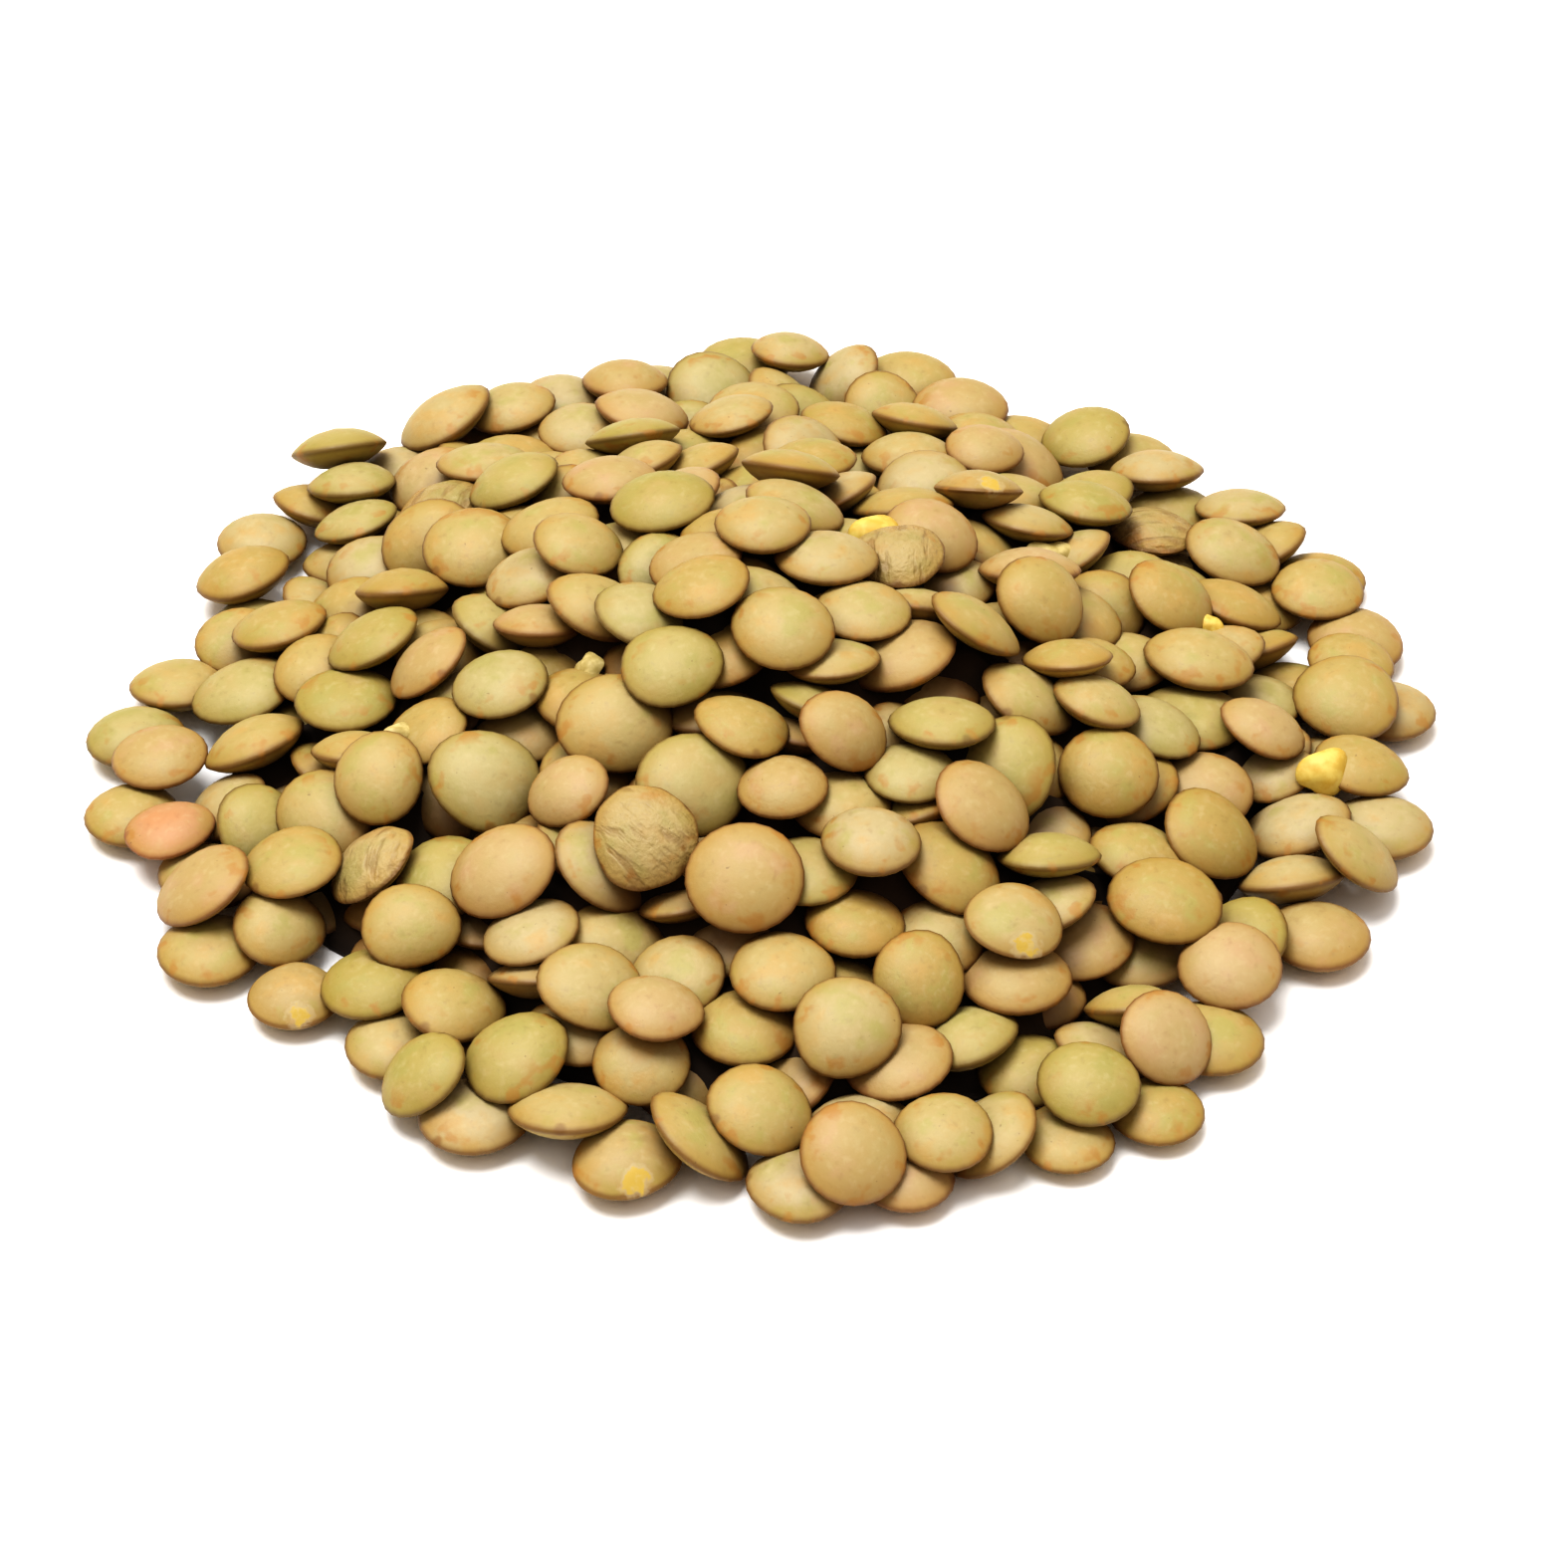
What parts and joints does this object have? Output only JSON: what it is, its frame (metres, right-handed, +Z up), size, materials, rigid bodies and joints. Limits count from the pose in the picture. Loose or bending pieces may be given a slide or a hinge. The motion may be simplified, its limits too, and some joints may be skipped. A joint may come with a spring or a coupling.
{
  "type": "heap of dry lentils",
  "caption": "Low round heap of dry lentils lying loose on a flat surface, small flat lens-shaped seeds resting on one another, with an uneven foot.",
  "frame": {"origin": "on the surface that the heap lies on, under the middle of the heap's box", "axes": "+Z up from the flat base, -Y towards the side that the picture shows, +X to that side's right"},
  "size_m": [0.0866, 0.0904, 0.0162],
  "materials": {
    "lentil": "dry matt seed coat"
  },
  "bodies": {
    "root": {"lentil_heap": "lentil"}
  },
  "joints": []
}
